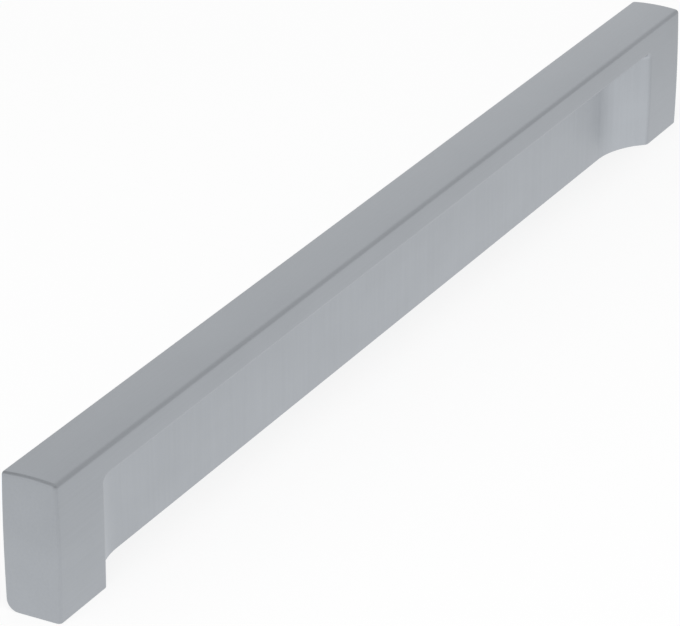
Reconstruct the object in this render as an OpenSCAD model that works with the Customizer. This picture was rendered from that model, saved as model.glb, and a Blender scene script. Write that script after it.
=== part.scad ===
// Furniture pull handle, one zinc die casting, shown standing on its mounting face.
// The bar runs along X, the finger side faces -Y and the mounting face is Z = 0.
// Its outer faces swell a little, and the finger side is hollowed out under a lip,
// with a scooped end at each foot.

/* [Bar] */
// Distance between the centres of the two screw holes
hole_spacing = 192; // [96:32:320]
// Length of each foot along the bar, measured on the finger side
foot_l = 11.7; // [11:0.1:20]
// Width of the bar from finger side to back, at its widest
bar_w = 9.3; // [8.3:0.1:14]
// Height of the bar above the mounting face
bar_h = 21.6; // [18:0.1:32]

/* [Swell and edges] */
// Rise of the top face above its long edges
top_swell = 0.3; // [0.1:0.05:0.6]
// Swell of the front and back faces between top and bottom
side_swell = 0.2; // [0.1:0.05:0.5]
// Radius of the long edges of the top face
long_edge_r = 0.4; // [0.3:0.05:1]
// Radius of the edges round the end faces
end_edge_r = 0.5; // [0.3:0.05:1]
// Radius of the long lower edge at the back
back_foot_r = 1.8; // [0.8:0.1:2.2]

/* [Finger recess] */
// Depth of the recess behind the widest part of the finger side
recess_d = 4.9; // [3.5:0.1:5.2]
// Height of the lip above the recess, up to the top of the bar
lip_h = 4.1; // [3:0.1:6]
// Radius of the scooped end at each foot, seen from above
scoop_r = 13.6; // [9:0.1:18]
// Radius of the corner between the lip and the wall of the recess
root_r = 1; // [0.5:0.1:2]
// Radius of the lower edge of the lip
lip_edge_r = 0.4; // [0.2:0.05:0.8]

/* [Screw holes] */
// Radius of each hole, the core of an M4 thread
tap_r = 1.65; // [1.25:0.05:2.1]
// Depth of each screw hole at full width
hole_depth = 12; // [8:0.5:14]
// Width of the chamfer at the mouth of each screw hole
mouth_chamfer = 0.4; // [0.2:0.1:0.6]
// Angle of the drill point at the end of each screw hole
drill_angle = 118; // [90:1:140]

/* [Hidden] */

// Facets of a full turn, on small rounds, on the scoops and on the shallow swell
small_facets = 64;
scoop_facets = 180;
swell_facets = 1440;
// How far a cutter runs past the surface that it cuts
over = 1;
// How far the waste of a rounded corner reaches, in radii
reach = 1.2;
// How far a round stands past the faces that it joins, so that it crosses them cleanly
bite = 0.002;

// Radius of an arc that rises by rise over a chord
function arc_r(chord, rise) = (chord * chord / 4 + rise * rise) / (2 * rise);

// Half the chord of a circle of radius r at the distance off from its centre
function across(r, off) = sqrt(r * r - off * off);

end_x = (hole_spacing + foot_l) / 2;
front_y = -bar_w / 2;
back_y = bar_w / 2;
mid_z = bar_h / 2;
wall_y = front_y + recess_d;
lip_z = bar_h - lip_h;

top_r = arc_r(bar_w, top_swell);
side_r = arc_r(bar_h, side_swell);
// Centres of the three swell arcs in the cross section, as [y, z]
top_c = [0, bar_h - top_r];
front_c = [front_y + side_r, mid_z];
back_c = [back_y - side_r, mid_z];

// Distance from the middle of the bar to the line where a scoop leaves the wall
scoop_x = end_x - foot_l - across(scoop_r, scoop_r - recess_d);
// Distance from the middle of the bar to where the flat underside of the lip ends in front
lip_x = scoop_x + across(scoop_r - root_r, scoop_r - recess_d);

// Point at r1 from c1 and r2 from c2, to the left of the way from c1 to c2
function meeting(c1, r1, c2, r2) =
    let (gap = c2 - c1, span = norm(gap))
    let (along = (r1 * r1 - r2 * r2 + span * span) / (2 * span))
    c1 + (gap * along + [-gap[1], gap[0]] * across(r1, along)) / span;

// Point of the circle round c that lies in the direction of p
function on_circle(c, r, p) = c + (p - c) * r / norm(p - c);

// Extrudes a shape drawn in [y, z] along the bar
module along_bar(length)
    rotate([90, 0, 90]) linear_extrude(height = length, center = true) children();

// Drum round an axis along the bar, whose outside is one swollen face with rounded rims
module drum(radius, centre)
    translate([0, centre[0], centre[1]]) rotate([0, 90, 0])
        rotate_extrude($fn = swell_facets) {
            translate([0, -end_x]) square([radius - end_edge_r, 2 * end_x]);
            translate([0, end_edge_r - end_x]) square([radius, 2 * (end_x - end_edge_r)]);
            for (end = [-1, 1])
                translate([radius - end_edge_r, end * (end_x - end_edge_r)])
                    circle(r = end_edge_r, $fn = small_facets);
        }

// What a round of radius r round c takes off the corner between its points p and q
module corner_waste(c, r, p, q)
    difference() {
        polygon([c, c + reach * (p - c), c + reach * (p + q - 2 * c), c + reach * (q - c)]);
        translate(c) circle(r = r, $fn = small_facets);
    }

// Waste of the long edge between the top face and the back face
module top_edge_waste() {
    inset = long_edge_r - bite;
    c = meeting(back_c, side_r - inset, top_c, top_r - inset);
    corner_waste(c, long_edge_r, on_circle(top_c, top_r, c), on_circle(back_c, side_r, c));
}

// Waste of the long edge between the back face and the mounting face
module back_foot_waste() {
    inset = back_foot_r - bite;
    c = [back_c[0] + across(side_r - inset, mid_z - inset), inset];
    corner_waste(c, back_foot_r, on_circle(back_c, side_r, c), [c[0], 0]);
}

// Waste of the lower edge of the lip
module lip_edge_waste() {
    inset = lip_edge_r - bite;
    c = [front_c[0] - across(side_r - inset, lip_z + inset - mid_z), lip_z + inset];
    corner_waste(c, lip_edge_r, on_circle(front_c, side_r, c), [c[0], lip_z]);
}

// The bar before it is hollowed: three swollen faces, square ends and a flat mounting face
module bar()
    difference() {
        intersection() {
            drum(top_r, top_c);
            drum(side_r, front_c);
            drum(side_r, back_c);
            translate([-end_x - over, -bar_w, 0]) cube([2 * (end_x + over), 2 * bar_w, bar_h + over]);
        }
        along_bar(2 * (end_x + over)) {
            top_edge_waste();
            mirror([1, 0]) top_edge_waste();
            back_foot_waste();
        }
    }

// Section of the recess, as [distance from a scoop's axis, z], open below
module recess_section() {
    translate([0, -over]) square([scoop_r, lip_z - root_r + over]);
    translate([0, -over]) square([scoop_r - root_r, lip_z + over]);
    translate([scoop_r - root_r, lip_z - root_r]) circle(r = root_r, $fn = small_facets);
}

// Finger recess: the section drawn straight between the scoops and turned round each of them
module recess()
    translate([0, wall_y - scoop_r, 0]) {
        along_bar(2 * scoop_x) recess_section();
        for (side = [-1, 1])
            translate([side * scoop_x, 0, 0]) rotate_extrude($fn = scoop_facets) recess_section();
    }

// Drilled hole with a chamfered mouth, opening downwards at Z = 0
module screw_hole()
    rotate_extrude($fn = small_facets) polygon([
        [0, -over],
        [tap_r + mouth_chamfer + over, -over],
        [tap_r, mouth_chamfer],
        [tap_r, hole_depth],
        [0, hole_depth + tap_r / tan(drill_angle / 2)]
    ]);

module handle()
    color("silver") difference() {
        bar();
        recess();
        along_bar(2 * lip_x) lip_edge_waste();
        for (side = [-1, 1]) translate([side * hole_spacing / 2, 0, 0]) screw_hole();
    }

handle();
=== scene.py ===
import math

import bmesh
import bpy
from mathutils import Euler, Matrix, Vector


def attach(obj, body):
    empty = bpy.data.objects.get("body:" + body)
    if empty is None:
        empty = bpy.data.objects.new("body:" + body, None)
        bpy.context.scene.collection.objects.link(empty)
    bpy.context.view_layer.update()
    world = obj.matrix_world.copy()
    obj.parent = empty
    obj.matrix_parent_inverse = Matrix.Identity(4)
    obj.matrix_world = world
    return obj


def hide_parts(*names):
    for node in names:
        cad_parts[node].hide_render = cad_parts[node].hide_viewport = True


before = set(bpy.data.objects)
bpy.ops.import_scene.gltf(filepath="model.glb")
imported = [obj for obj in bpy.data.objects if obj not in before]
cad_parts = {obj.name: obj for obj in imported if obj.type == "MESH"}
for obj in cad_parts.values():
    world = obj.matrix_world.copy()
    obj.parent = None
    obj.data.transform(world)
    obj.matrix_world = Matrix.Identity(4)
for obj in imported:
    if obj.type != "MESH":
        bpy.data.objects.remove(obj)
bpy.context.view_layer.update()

# The handle's sizes in millimetres, as in the part's source, apart from the lip: it is 4.1 high
# there, and the photograph shows it a little higher.
HOLE_SPACING = 192.0
FOOT_L = 11.7
BAR_W = 9.3
BAR_H = 21.6
TOP_SWELL = 0.3
SIDE_SWELL = 0.2
BACK_FOOT_R = 1.8
RECESS_D = 4.9
LIP_H = 4.5
SCOOP_R = 13.6
ROOT_R = 1.0
TAP_R = 1.65
HOLE_DEPTH = 12.0
MOUTH_CHAMFER = 0.4
DRILL_ANGLE = 118.0

# Polishing rounds the edges a little more than the part's source does: the edges of the ends,
# the front edge of the top face, and the rim of the finger recess all the way round.
END_EDGE_R = 0.6
FRONT_EDGE_R = 0.6
BACK_EDGE_R = 0.4
RIM_R = 0.6
# How far the rounding reaches from the upright rim of a scoop, as a share of RIM_R. The surface
# turns there through less than the right angle that it turns through at the lip.
SCOOP_RIM_SHARE = 0.7
# Steps along a corner of the rim and along the foot's round, and facets across each rounding.
RIM_CORNER_STEPS = 8
FOOT_STEPS = 8
EDGE_SEGMENTS = 6
# Edges sharper than this belong to the rim, and those sharper than the second stay crisp.
RIM_ANGLE = 20
CRISP_ANGLE = 30

# The M4 thread of the screw holes. The inner radius reaches into the bore, for a clean cut.
THREAD_PITCH = 0.7
THREAD_ANGLE = 60
THREAD_MAJOR_R = 2.0
THREAD_INNER_R = 1.6
THREAD_ROOT_FLAT = 0.0875
THREAD_TURNS = 13
# Degrees that keep the facets of the thread off those of the bore.
THREAD_OFFSET = 5

MM = 0.001
# How far a cutter runs past the surface that it cuts, and how close counts as touching.
OVER = 1.0
CLOSE = 0.001
# How far the card lies below the handle, so that the two never coincide.
CARD_DROP = 0.1
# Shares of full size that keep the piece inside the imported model's box. That model's swollen
# back is made of flats, which stop 12 microns short of the true swell.
INSIDE = (0.99996, 0.9973, 0.99996)

END_X = (HOLE_SPACING + FOOT_L) / 2
FRONT_Y = -BAR_W / 2
BACK_Y = BAR_W / 2
MID_Z = BAR_H / 2
WALL_Y = FRONT_Y + RECESS_D
LIP_Z = BAR_H - LIP_H


def arc_radius(chord, rise):
    """Radius of an arc that rises by rise over a chord."""
    return (chord * chord / 4 + rise * rise) / (2 * rise)


def across(radius, off):
    """Half the chord of a circle at the distance off from its centre."""
    return math.sqrt(radius * radius - off * off)


def meeting(c1, r1, c2, r2):
    """Point at r1 from c1 and r2 from c2, to the left of the way from c1 to c2."""
    gap = c2 - c1
    span = gap.length
    along = (r1 * r1 - r2 * r2 + span * span) / (2 * span)
    return c1 + (gap * along + Vector((-gap.y, gap.x)) * across(r1, along)) / span


TOP_R = arc_radius(BAR_W, TOP_SWELL)
SIDE_R = arc_radius(BAR_H, SIDE_SWELL)
# Centres of the swell arcs in the cross section, and its front upper corner, as (y, z).
TOP_C = Vector((0, BAR_H - TOP_R))
FRONT_C = Vector((FRONT_Y + SIDE_R, MID_Z))
BACK_C = Vector((BACK_Y - SIDE_R, MID_Z))
FRONT_CORNER = meeting(TOP_C, TOP_R, FRONT_C, SIDE_R)
# Axis of each scoop, at plus and minus SCOOP_X.
SCOOP_X = END_X - FOOT_L - across(SCOOP_R, SCOOP_R - RECESS_D)
SCOOP_Y = WALL_Y - SCOOP_R
# The length over which the painted brightening of a scoop grows out of that of the wall, and the
# depths behind the front face between which the recess's finish and painted brightening take over
# from the outer faces' finish.
PAINTED_SCOOP_BLEND = 6.0
RIM_BLEND_FROM = 0.03
RIM_BLEND_TO = 0.4


# The modelling is done in millimetres, and the finished piece is brought to metres.

def start_outline(name, point):
    """Opens a new mesh in edit mode and leaves one vertex of it, at point."""
    bpy.ops.object.select_all(action="DESELECT")
    bpy.ops.mesh.primitive_plane_add(size=1)
    piece = bpy.context.active_object
    piece.name = piece.data.name = name
    bpy.ops.object.mode_set(mode="EDIT")
    bpy.ops.mesh.select_mode(type="VERT")
    bpy.ops.mesh.select_all(action="SELECT")
    bpy.ops.mesh.merge(type="CENTER")
    bpy.ops.transform.translate(value=point)
    return piece


def being_edited():
    return bmesh.from_edit_mesh(bpy.context.active_object.data)


def pull(offset):
    """Extrudes what is selected by offset."""
    bpy.ops.mesh.extrude_region_move(TRANSFORM_OT_translate={"value": offset})


def turn(centre, axis, degrees, steps):
    """Spins what is selected round an axis through centre."""
    bpy.ops.mesh.spin(steps=steps, angle=-math.radians(degrees), center=centre, axis=axis)


def arc_to(x, centre, target, steps):
    """Draws an arc in the plane of x from the selected vertex to target. Points are (y, z)."""
    here = next(v.co for v in being_edited().verts if v.select)
    start = Vector((here.y, here.z)) - centre
    end = Vector(target) - centre
    sweep = math.atan2(start.x * end.y - start.y * end.x, start.dot(end))
    turn((x, centre.x, centre.y), (1, 0, 0), math.degrees(sweep), steps)


def pick(kind, test):
    """Selects only the verts, edges or faces for which test holds."""
    bpy.ops.mesh.select_mode(type={"verts": "VERT", "edges": "EDGE", "faces": "FACE"}[kind])
    bpy.ops.mesh.select_all(action="DESELECT")
    mesh = being_edited()
    for part in getattr(mesh, kind):
        if test(part):
            part.select_set(True)
    mesh.select_flush_mode()
    bmesh.update_edit_mesh(bpy.context.active_object.data)


def near(a, b):
    return abs(a - b) < CLOSE


def all_at(part, test):
    """True if test holds at every corner of an edge or face."""
    return all(test(v.co) for v in part.verts)


def face_outline():
    """Closes the outline just drawn and fills it with one face."""
    pick("verts", lambda v: len(v.link_edges) == 1)
    bpy.ops.mesh.edge_face_add()
    bpy.ops.mesh.select_all(action="SELECT")
    bpy.ops.mesh.edge_face_add()


def leave_edit():
    """Turns all faces outwards and leaves edit mode."""
    bpy.ops.mesh.select_all(action="SELECT")
    bpy.ops.mesh.normals_make_consistent(inside=False)
    bpy.ops.object.mode_set(mode="OBJECT")


def apply_modifier(piece, kind, **settings):
    """Gives piece a modifier with these settings and applies it."""
    bpy.ops.object.select_all(action="DESELECT")
    piece.select_set(True)
    bpy.context.view_layer.objects.active = piece
    modifier = piece.modifiers.new(kind.title(), kind)
    for key, value in settings.items():
        setattr(modifier, key, value)
    bpy.ops.object.modifier_apply(modifier=modifier.name)


def cut(piece, cutter):
    """Takes cutter away from piece."""
    apply_modifier(piece, "BOOLEAN", operation="DIFFERENCE", solver="EXACT", object=cutter)
    bpy.data.objects.remove(cutter)


def mark(share, test):
    """Gives the edges for which test holds this share of the next bevel's width."""
    pick("edges", test)
    bpy.ops.transform.edge_bevelweight(value=share)


def round_marked(piece, width):
    """Rounds the marked edges and clears their marks."""
    bpy.ops.object.mode_set(mode="OBJECT")
    apply_modifier(
        piece, "BEVEL", width=width, segments=EDGE_SEGMENTS, limit_method="WEIGHT",
        offset_type="OFFSET", use_clamp_overlap=False, loop_slide=True,
    )
    weights = piece.data.attributes.get("bevel_weight_edge")
    if weights:
        piece.data.attributes.remove(weights)


def make_bar():
    """The bar before it is hollowed: a swollen section drawn in arcs and pulled along."""
    x = -END_X
    foot_c = Vector((BACK_C.x + across(SIDE_R - BACK_FOOT_R, MID_Z - BACK_FOOT_R), BACK_FOOT_R))
    foot_start = BACK_C + (foot_c - BACK_C) * SIDE_R / (foot_c - BACK_C).length
    piece = start_outline("handle_casting", (x, FRONT_C.x - across(SIDE_R, MID_Z), 0))
    # One step spans the lip's rim and its corners, so that no facet line crosses them. The
    # steps beside a corner of the section are longer than its rounding.
    for z, steps in ((LIP_Z - 1.1 * ROOT_R, 18), (LIP_Z + 1.2 * RIM_R, 1)):
        arc_to(x, FRONT_C, (FRONT_C.x - across(SIDE_R, z - MID_Z), z), steps)
    arc_to(x, FRONT_C, FRONT_CORNER, 2)
    arc_to(x, TOP_C, (-FRONT_CORNER.x, FRONT_CORNER.y), 10)
    arc_to(x, BACK_C, foot_start, 20)
    arc_to(x, foot_c, (foot_c.x, 0), FOOT_STEPS)
    face_outline()
    pull((2 * END_X, 0, 0))
    for y, radius in ((FRONT_CORNER.x, FRONT_EDGE_R), (-FRONT_CORNER.x, BACK_EDGE_R)):
        mark(radius / END_EDGE_R, lambda e: all_at(
            e, lambda p: near(p.y, y) and near(p.z, FRONT_CORNER.y)))

    def round_end(edge):
        return (all_at(edge, lambda p: near(abs(p.x), END_X))
                and near(edge.verts[0].co.x, edge.verts[1].co.x)
                and not all_at(edge, lambda p: near(p.z, 0)))

    def step_of(edge):
        """Which step of the foot's round an edge is, from the mounting face up."""
        middle = (edge.verts[0].co + edge.verts[1].co) / 2
        if middle.y < foot_c.x or middle.z > BACK_FOOT_R:
            return FOOT_STEPS
        angle = math.atan2(middle.y - foot_c.x, BACK_FOOT_R - middle.z)
        return int(FOOT_STEPS * angle / math.radians(90))

    # The rounding of an end runs out along the foot's round, towards the mounting face.
    for step in range(FOOT_STEPS + 1):
        mark(min(1, (step + 0.5) / FOOT_STEPS), lambda e: round_end(e) and step_of(e) == step)
    round_marked(piece, END_EDGE_R)
    return piece


def make_recess():
    """Cutter of the finger recess: its section drawn straight, then turned round at each scoop."""
    front = SCOOP_Y + SCOOP_R / 3
    piece = start_outline("recess", (SCOOP_X, front, -OVER))
    pull((0, WALL_Y - front, 0))
    pull((0, 0, LIP_Z - ROOT_R + OVER))
    root_c = Vector((WALL_Y - ROOT_R, LIP_Z - ROOT_R))
    arc_to(SCOOP_X, root_c, (root_c.x, LIP_Z), RIM_CORNER_STEPS)
    pull((0, front - WALL_Y + ROOT_R, 0))
    face_outline()
    pull((-2 * SCOOP_X, 0, 0))
    for side in (-1, 1):
        pick("faces", lambda f: all_at(f, lambda p: near(p.x, side * SCOOP_X)))
        # The rim lies in the one wide step, so that its rounding meets no facet line.
        for degrees, steps in ((39, 19), (13, 1), (38, 4)):
            turn((side * SCOOP_X, SCOOP_Y, 0), (0, 0, 1), -side * degrees, steps)
    leave_edit()
    return piece


def make_bore(x):
    """Cutter of a screw hole: chamfered mouth, core bore and drill point."""
    piece = start_outline("bore", (x, 0, -OVER))
    pull((TAP_R + MOUTH_CHAMFER + OVER, 0, 0))
    pull((-MOUTH_CHAMFER - OVER, 0, MOUTH_CHAMFER + OVER))
    pull((0, 0, HOLE_DEPTH - MOUTH_CHAMFER))
    pull((-TAP_R, 0, TAP_R / math.tan(math.radians(DRILL_ANGLE / 2))))
    bpy.ops.mesh.select_all(action="SELECT")
    turn((x, 0, 0), (0, 0, 1), 360, 48)
    bpy.ops.mesh.select_all(action="SELECT")
    bpy.ops.mesh.remove_doubles(threshold=CLOSE)
    leave_edit()
    return piece


def make_tap(x):
    """Cutter of the thread in a screw hole: one groove of the thread wound up the hole."""
    flank = (THREAD_MAJOR_R - THREAD_INNER_R) * math.tan(math.radians(THREAD_ANGLE / 2))
    land = THREAD_PITCH - THREAD_ROOT_FLAT - 2 * flank
    piece = start_outline("tap", (THREAD_INNER_R, 0, -2 * THREAD_PITCH))
    pull((0, 0, land))
    pull((THREAD_MAJOR_R - THREAD_INNER_R, 0, flank))
    pull((0, 0, THREAD_ROOT_FLAT))
    pull((THREAD_INNER_R - THREAD_MAJOR_R, 0, flank))
    bpy.ops.object.mode_set(mode="OBJECT")
    apply_modifier(
        piece, "SCREW", axis="Z", angle=math.radians(360), screw_offset=THREAD_PITCH,
        iterations=THREAD_TURNS, steps=24, use_merge_vertices=True, merge_threshold=CLOSE,
    )
    bpy.ops.object.mode_set(mode="EDIT")
    bpy.ops.mesh.select_all(action="SELECT")
    bpy.ops.mesh.remove_doubles(threshold=CLOSE)
    for top in (False, True):
        half = THREAD_PITCH * (THREAD_TURNS - 2) / 2
        pick("edges", lambda e: e.is_boundary and (e.verts[0].co.z > half) == top)
        bpy.ops.mesh.extrude_edges_move()
        bpy.ops.mesh.merge(type="CENTER")
    bpy.ops.mesh.select_all(action="SELECT")
    bpy.ops.transform.rotate(
        value=math.radians(THREAD_OFFSET), orient_axis="Z", center_override=(0, 0, 0))
    bpy.ops.transform.translate(value=(x, 0, 0))
    leave_edit()
    return piece


def on_opening(edge):
    """True on the rim of the finger recess in the front face."""
    if len(edge.link_faces) != 2 or edge.calc_face_angle() < math.radians(RIM_ANGLE):
        return False
    if all_at(edge, lambda p: near(p.z, 0)):
        return False
    return all_at(edge, lambda p: abs(p.x) < END_X - FOOT_L + CLOSE + SIDE_SWELL
                  and p.y < FRONT_Y + SIDE_SWELL + CLOSE and p.z < LIP_Z + CLOSE)


def mark_rim():
    """Marks the rim: in full at the lip, less along each corner, and least at the scoops."""
    def down(edge):
        middle = (edge.verts[0].co.z + edge.verts[1].co.z) / 2
        return min(1, max(0, (LIP_Z - middle) / ROOT_R))

    for step in range(RIM_CORNER_STEPS + 1):
        mark(1 - (1 - SCOOP_RIM_SHARE) * step / RIM_CORNER_STEPS,
             lambda e: on_opening(e) and round(down(e) * RIM_CORNER_STEPS) == step)


def make_handle():
    piece = make_bar()
    cut(piece, make_recess())
    bpy.ops.object.mode_set(mode="EDIT")
    pick("faces", lambda f: all_at(f, lambda p: near(p.z, LIP_Z)))
    bpy.ops.mesh.dissolve_faces(use_verts=True)
    mark_rim()
    round_marked(piece, RIM_R)
    for side in (-1, 1):
        cut(piece, make_bore(side * HOLE_SPACING / 2))
        cut(piece, make_tap(side * HOLE_SPACING / 2))
    bpy.ops.object.mode_set(mode="EDIT")
    bpy.ops.mesh.select_all(action="SELECT")
    bpy.ops.transform.resize(value=[MM * share for share in INSIDE], center_override=(0, 0, 0))
    bpy.ops.object.mode_set(mode="OBJECT")
    bpy.ops.object.shade_smooth_by_angle(angle=math.radians(CRISP_ANGLE))
    apply_modifier(piece, "WEIGHTED_NORMAL", mode="FACE_AREA", weight=100, keep_sharp=True)
    return piece


handle = make_handle()


# Materials and light.

def linear(hex_colour):
    """An sRGB hex colour as linear RGBA."""
    parts = [int(hex_colour[i:i + 2], 16) / 255 for i in (1, 3, 5)]
    return (*[c / 12.92 if c <= 0.04045 else ((c + 0.055) / 1.055) ** 2.4 for c in parts], 1)


def add(tree, kind, inputs=None, **settings):
    """Adds a node. inputs gives its sockets their values, or what they are linked to: an
    output, or a node, which stands for its first output."""
    node = tree.nodes.new(kind)
    for key, value in settings.items():
        setattr(node, key, value)
    for key, value in (inputs or {}).items():
        if isinstance(value, bpy.types.Node):
            value = value.outputs[0]
        if isinstance(value, bpy.types.NodeSocket):
            tree.links.new(value, node.inputs[key])
        else:
            node.inputs[key].default_value = value
    return node


def new_material(name):
    material = bpy.data.materials.new(name)
    material.use_nodes = True
    material.node_tree.nodes.clear()
    return material, material.node_tree


def in_recess(tree, place):
    """1 on the walls of the finger recess, 0 on the outer faces, blended over the rim.

    The second value is 1 on the two scoops alone, blended in where they leave the wall; it places
    the painted brightening of the scoops.
    """
    x, y, z = add(tree, "ShaderNodeSeparateXYZ", {0: place}).outputs
    along = add(tree, "ShaderNodeMath", {0: x}, operation="ABSOLUTE")
    # The front face falls back from its middle by the square of the height, over 2 SIDE_R.
    height = add(tree, "ShaderNodeMath", {0: z, 1: MM * MID_Z}, operation="SUBTRACT")
    square = add(tree, "ShaderNodeMath", {0: height, 1: height}, operation="MULTIPLY")
    depth = add(tree, "ShaderNodeMath", {
        0: square, 1: -1 / (2 * MM * SIDE_R), 2: y}, operation="MULTIPLY_ADD")
    inside = add(tree, "ShaderNodeMapRange", {
        "Value": depth,
        "From Min": MM * (FRONT_Y + RIM_BLEND_FROM), "From Max": MM * (FRONT_Y + RIM_BLEND_TO)})
    for value, bound, side in (
        (y, WALL_Y + SIDE_SWELL, "LESS_THAN"),
        (z, CLOSE, "GREATER_THAN"),
        (z, LIP_Z, "LESS_THAN"),
        (along, END_X - FOOT_L + CLOSE, "LESS_THAN"),
    ):
        within = add(tree, "ShaderNodeMath", {0: value, 1: MM * bound}, operation=side)
        inside = add(tree, "ShaderNodeMath", {0: inside, 1: within}, operation="MULTIPLY")
    painted_scoop_brightening = add(tree, "ShaderNodeMapRange", {
        "Value": along, "From Min": MM * SCOOP_X, "From Max": MM * (SCOOP_X + PAINTED_SCOOP_BLEND),
    }, interpolation_type="SMOOTHSTEP")
    scoops = add(tree, "ShaderNodeMath", {0: inside, 1: painted_scoop_brightening}, operation="MULTIPLY")
    return inside, scoops


def satin_chrome():
    """Zinc casting, polished, then satin chromed: a pale grey metal with a wide, soft sheen.

    The outer faces were linished along the bar, which gives them faint streaks from end to
    end. The recess was buffed up and down by a wheel, which gives it upright streaks. Its
    colour is painted a shade brighter, most of all in the scoops: a painted brightening that
    stands in for the brighter reflections there.
    """
    material, tree = new_material("satin_chromed_zinc")
    place = add(tree, "ShaderNodeTexCoord").outputs["Object"]
    recess, scoops = in_recess(tree, place)
    # Each pattern is noise, by the lengths of its lumps in millimetres along x, y and z, and
    # its detail. Linishing by a 240 grit belt leaves lines 0.06 mm apart. They are drawn
    # 0.4 mm apart, so that they show, and so are the wheel's. The blasted tooth of a satin
    # plate is about 0.03 mm wide, drawn ten times as wide. The last is the slow unevenness of
    # hand polishing, a finger's width across.
    patterns = []
    for lengths, detail in (
        ((25, 0.4, 0.4), 2),
        ((0.8, 0.8, 18), 2),
        ((0.3, 0.3, 0.3), 1),
        ((14, 9, 7), 2),
    ):
        scaled = add(tree, "ShaderNodeMapping", {
            "Vector": place, "Scale": [1 / (MM * length) for length in lengths]})
        patterns.append(add(tree, "ShaderNodeTexNoise", {
            "Vector": scaled, "Scale": 1.0, "Detail": detail, "Roughness": 0.5}))
    linished, buffed, tooth, uneven = patterns
    lines = add(tree, "ShaderNodeMix", {0: recess, 2: linished, 3: buffed})

    rough = 0.45
    for pattern, swing in ((lines, 0.12), (tooth, 0.05), (uneven, 0.06)):
        centred = add(tree, "ShaderNodeMath", {0: pattern, 1: 0.5}, operation="SUBTRACT")
        rough = add(tree, "ShaderNodeMath", {
            0: centred, 1: swing, 2: rough}, operation="MULTIPLY_ADD")
    height = add(tree, "ShaderNodeMath", {0: tooth, 1: 0.4, 2: lines}, operation="MULTIPLY_ADD")
    relief = add(tree, "ShaderNodeBump", {
        "Height": height, "Strength": 1.0, "Distance": 0.003 * MM})
    both = add(tree, "ShaderNodeMath", {0: lines, 1: uneven}, operation="ADD")
    shade = add(tree, "ShaderNodeMapRange", {"Value": both, "From Min": 0.7, "From Max": 1.3})
    plated = add(tree, "ShaderNodeMix", {
        0: shade, 6: linear("#ADB1B6"), 7: linear("#B4B8BD")}, data_type="RGBA").outputs[2]
    # Painted brightening: the colour is made a shade lighter on the recess walls and more in the
    # scoops, in place of the brighter reflections seen there.
    brightness = 1.0
    for where, gain in ((recess, 0.05), (scoops, 0.14)):
        brightness = add(tree, "ShaderNodeMath", {
            0: where, 1: gain, 2: brightness}, operation="MULTIPLY_ADD")
    colour = add(tree, "ShaderNodeVectorMath", {
        0: plated, "Scale": brightness}, operation="SCALE")
    shader = add(tree, "ShaderNodeBsdfPrincipled", {
        "Base Color": colour, "Metallic": 1.0, "Roughness": rough, "Normal": relief})
    add(tree, "ShaderNodeOutputMaterial", {"Surface": shader})
    return material


def pale_floor():
    """Matt white card under the handle. The camera sees it near white, with a soft shadow."""
    material, tree = new_material("matt_white_card")
    place = add(tree, "ShaderNodeTexCoord").outputs["Object"]
    away = add(tree, "ShaderNodeVectorMath", {0: place}, operation="LENGTH").outputs["Value"]
    lit = add(tree, "ShaderNodeBsdfDiffuse", {"Color": linear("#F4F4F4")})
    white = add(tree, "ShaderNodeEmission", {"Strength": 1.0})
    # The card's own white takes over from the shaded card away from the handle.
    own_white = add(tree, "ShaderNodeMapRange", {
        "Value": away, "From Min": 0.12, "From Max": 0.4, "To Min": 0.8, "To Max": 1.0,
    }, interpolation_type="SMOOTHSTEP")
    seen = add(tree, "ShaderNodeMixShader", {0: own_white, 1: lit, 2: white})
    # The metal mirrors a lit card, a little brighter close by than far off.
    x, y, _ = add(tree, "ShaderNodeSeparateXYZ", {0: place}).outputs
    along = add(tree, "ShaderNodeMath", {0: x}, operation="ABSOLUTE")
    past_end = add(tree, "ShaderNodeMath", {0: along, 1: MM * END_X}, operation="SUBTRACT")
    aside = add(tree, "ShaderNodeMath", {0: y}, operation="ABSOLUTE")
    beside = add(tree, "ShaderNodeMath", {0: past_end, 1: aside}, operation="MAXIMUM")
    brightness = add(tree, "ShaderNodeMapRange", {
        "Value": beside, "From Min": 0.0, "From Max": 0.1, "To Min": 0.95, "To Max": 0.78,
    }, interpolation_type="SMOOTHSTEP")
    mirrored = add(tree, "ShaderNodeEmission", {"Strength": brightness})
    ray = add(tree, "ShaderNodeLightPath").outputs
    surface = add(tree, "ShaderNodeMixShader", {0: ray["Is Glossy Ray"], 1: lit, 2: mirrored})
    surface = add(tree, "ShaderNodeMixShader", {0: ray["Is Camera Ray"], 1: surface, 2: seen})
    add(tree, "ShaderNodeOutputMaterial", {"Surface": surface})
    return material


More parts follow.
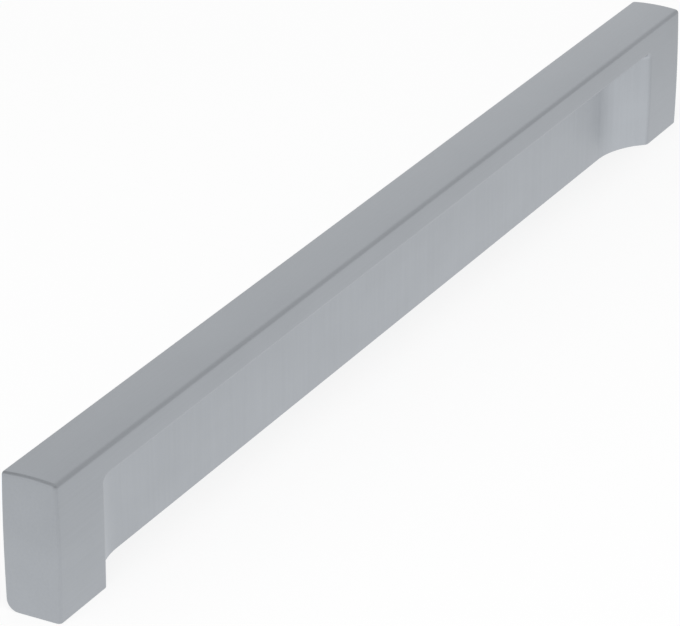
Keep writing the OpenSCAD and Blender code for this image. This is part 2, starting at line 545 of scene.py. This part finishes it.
def studio():
    """A plain, dim room: a lit backdrop beyond the handle that fades to its right, a paler
    wall to its left and a paler ceiling."""
    world = bpy.data.worlds.new("studio")
    world.use_nodes = True
    tree = world.node_tree
    tree.nodes.clear()
    direction = add(tree, "ShaderNodeTexCoord").outputs["Generated"]
    level = 0.5
    for side, rim, middle, gain in (
        ((0.868, 0.363, 0.339), 0.82, 0.99, 0.5),
        ((0.792, -0.43, 0.434), 0.8, 1.0, 0.2),
        ((-0.866, 0.5, 0.0), 0.6, 0.97, 0.5),
        ((0.0, 0.0, 1.0), 0.85, 1.0, 0.3),
    ):
        toward = add(tree, "ShaderNodeVectorMath", {
            0: direction, 1: side}, operation="DOT_PRODUCT").outputs["Value"]
        lit = add(tree, "ShaderNodeMapRange", {
            "Value": toward, "From Min": rim, "From Max": middle, "To Max": gain,
        }, interpolation_type="SMOOTHSTEP")
        level = add(tree, "ShaderNodeMath", {0: level, 1: lit}, operation="ADD")
    camera_ray = add(tree, "ShaderNodeLightPath").outputs["Is Camera Ray"]
    strength = add(tree, "ShaderNodeMix", {0: camera_ray, 2: level, 3: 1.0})
    sky = add(tree, "ShaderNodeBackground", {"Color": (1, 1, 1, 1), "Strength": strength})
    add(tree, "ShaderNodeOutputWorld", {"Surface": sky})
    return world


handle.data.materials.clear()
handle.data.materials.append(satin_chrome())
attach(handle, "root")
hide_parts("handle")

bpy.ops.object.select_all(action="DESELECT")
bpy.ops.mesh.primitive_circle_add(
    vertices=96, radius=6, fill_type="NGON", location=(0, 0, -CARD_DROP * MM))
floor = bpy.context.active_object
floor.name = floor.data.name = "floor"
floor.data.materials.append(pale_floor())

bpy.context.scene.world = studio()

lamp = bpy.data.lights.new("overhead_softbox", "AREA")
lamp.shape = "DISK"
lamp.size = 1.0
lamp.energy = 7.0
softbox = bpy.data.objects.new("overhead_softbox", lamp)
# It lights the card. In the metal it would draw a bright line along the end's upper edge.
softbox.visible_glossy = False
softbox.location = (-0.48, -0.26, 0.95)
softbox.rotation_euler = (-softbox.location).to_track_quat("-Z", "Y").to_euler()
bpy.context.scene.collection.objects.link(softbox)

# The camera, fitted to the straight edges of the bar.
CAMERA_AIM = Vector((-0.016282, -0.001137, 0.01075))
CAMERA_DISTANCE = 0.598215
CAMERA_AZIMUTH = -61.278
CAMERA_ELEVATION = 25.363
CAMERA_ROLL = -0.073
CAMERA_LENS = 206.787
camera = bpy.data.objects.new("camera", bpy.data.cameras.new("camera"))
camera.data.sensor_width = 36
camera.data.lens = CAMERA_LENS
camera.data.clip_start = 0.05
camera.data.clip_end = 20
turned = Euler((math.radians(90 - CAMERA_ELEVATION), 0, math.radians(CAMERA_AZIMUTH))).to_matrix()
turned = turned @ Matrix.Rotation(math.radians(CAMERA_ROLL), 3, "Z")
camera.rotation_euler = turned.to_euler()
camera.location = CAMERA_AIM + turned @ Vector((0, 0, CAMERA_DISTANCE))
bpy.context.scene.collection.objects.link(camera)
bpy.context.scene.camera = camera
bpy.context.scene.view_settings.view_transform = "Standard"
